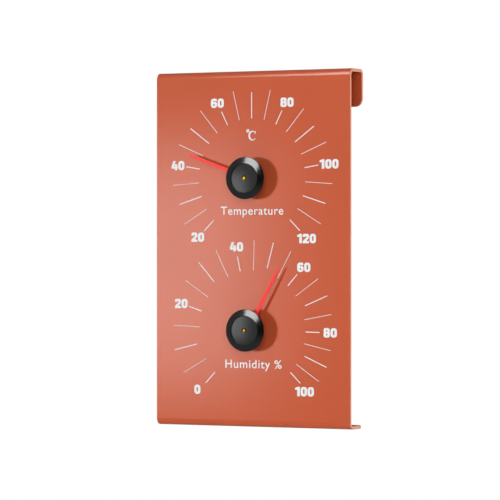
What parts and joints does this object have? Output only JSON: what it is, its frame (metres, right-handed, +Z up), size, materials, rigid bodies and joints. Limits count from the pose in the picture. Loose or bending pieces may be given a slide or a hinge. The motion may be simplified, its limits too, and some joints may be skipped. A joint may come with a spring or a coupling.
{
  "type": "thermo-hygrometer",
  "caption": "Wall-hung dial thermometer and hygrometer on one bent sheet-metal plate, with red pointers that swing under round black caps.",
  "frame": {"origin": "middle of the round part of the keyhole, on the rear face of the lip, where it meets the wall", "axes": "+X to the right as the dials are read, +Y towards the wall, +Z up"},
  "size_m": [0.134, 0.0296, 0.22],
  "materials": {
    "powder_coat": "fine matt powder coat, terracotta",
    "brass": "turned",
    "steel": "zinc plated",
    "fibre": "matt",
    "white_plastic": "satin",
    "red_paint": "satin paint",
    "black_gloss": "polished",
    "grey_disc": "satin",
    "bimetal": "rolled strip",
    "humidity_strip": "coated strip"
  },
  "bodies": {
    "plate": {"dial_plate": "powder_coat", "front_washers": "fibre", "rear_washers": "steel", "bush_nuts": "brass", "thermo_mounting_bush": "brass", "hygro_mounting_bush": "brass"},
    "thermo_arbor": {"thermo_spindle": "brass", "thermo_thrust_washer": "white_plastic", "thermo_friction_washer": "steel", "thermo_retaining_clip": "steel", "thermo_coil_collet": "brass", "thermo_bimetal_coil": "bimetal", "thermo_cap": "black_gloss", "thermo_face_disc": "grey_disc"},
    "thermo_needle": {"thermo_pointer_hub": "brass", "thermo_pointer": "red_paint", "thermo_coil_arm": "steel"},
    "hygro_arbor": {"hygro_spindle": "brass", "hygro_thrust_washer": "white_plastic", "hygro_friction_washer": "steel", "hygro_retaining_clip": "steel", "hygro_coil_collet": "brass", "hygro_humidity_coil": "humidity_strip", "hygro_cap": "black_gloss", "hygro_face_disc": "grey_disc"},
    "hygro_needle": {"hygro_pointer_hub": "brass", "hygro_pointer": "red_paint", "hygro_coil_arm": "steel"}
  },
  "joints": [
    {"name": "thermo_adjuster", "type": "hinge", "parent": "plate", "child": "thermo_arbor", "pos_m": [0, -0.0186, -0.0505], "axis": [0, 1, 0], "continuous": true},
    {"name": "thermo_pointer_swing", "type": "hinge", "parent": "thermo_arbor", "child": "thermo_needle", "pos_m": [0, -0.0186, -0.0505], "axis": [0, 1, 0], "range_deg": [-64.8, 205.2], "stiffness_Nm_per_rad": 0.002, "deforming": ["thermo_bimetal_coil"]},
    {"name": "hygro_adjuster", "type": "hinge", "parent": "plate", "child": "hygro_arbor", "pos_m": [0, -0.0186, -0.1442], "axis": [0, 1, 0], "continuous": true},
    {"name": "hygro_pointer_swing", "type": "hinge", "parent": "hygro_arbor", "child": "hygro_needle", "pos_m": [0, -0.0186, -0.1442], "axis": [0, 1, 0], "range_deg": [-163.6, 106.4], "stiffness_Nm_per_rad": 0.002, "deforming": ["hygro_humidity_coil"]}
  ]
}
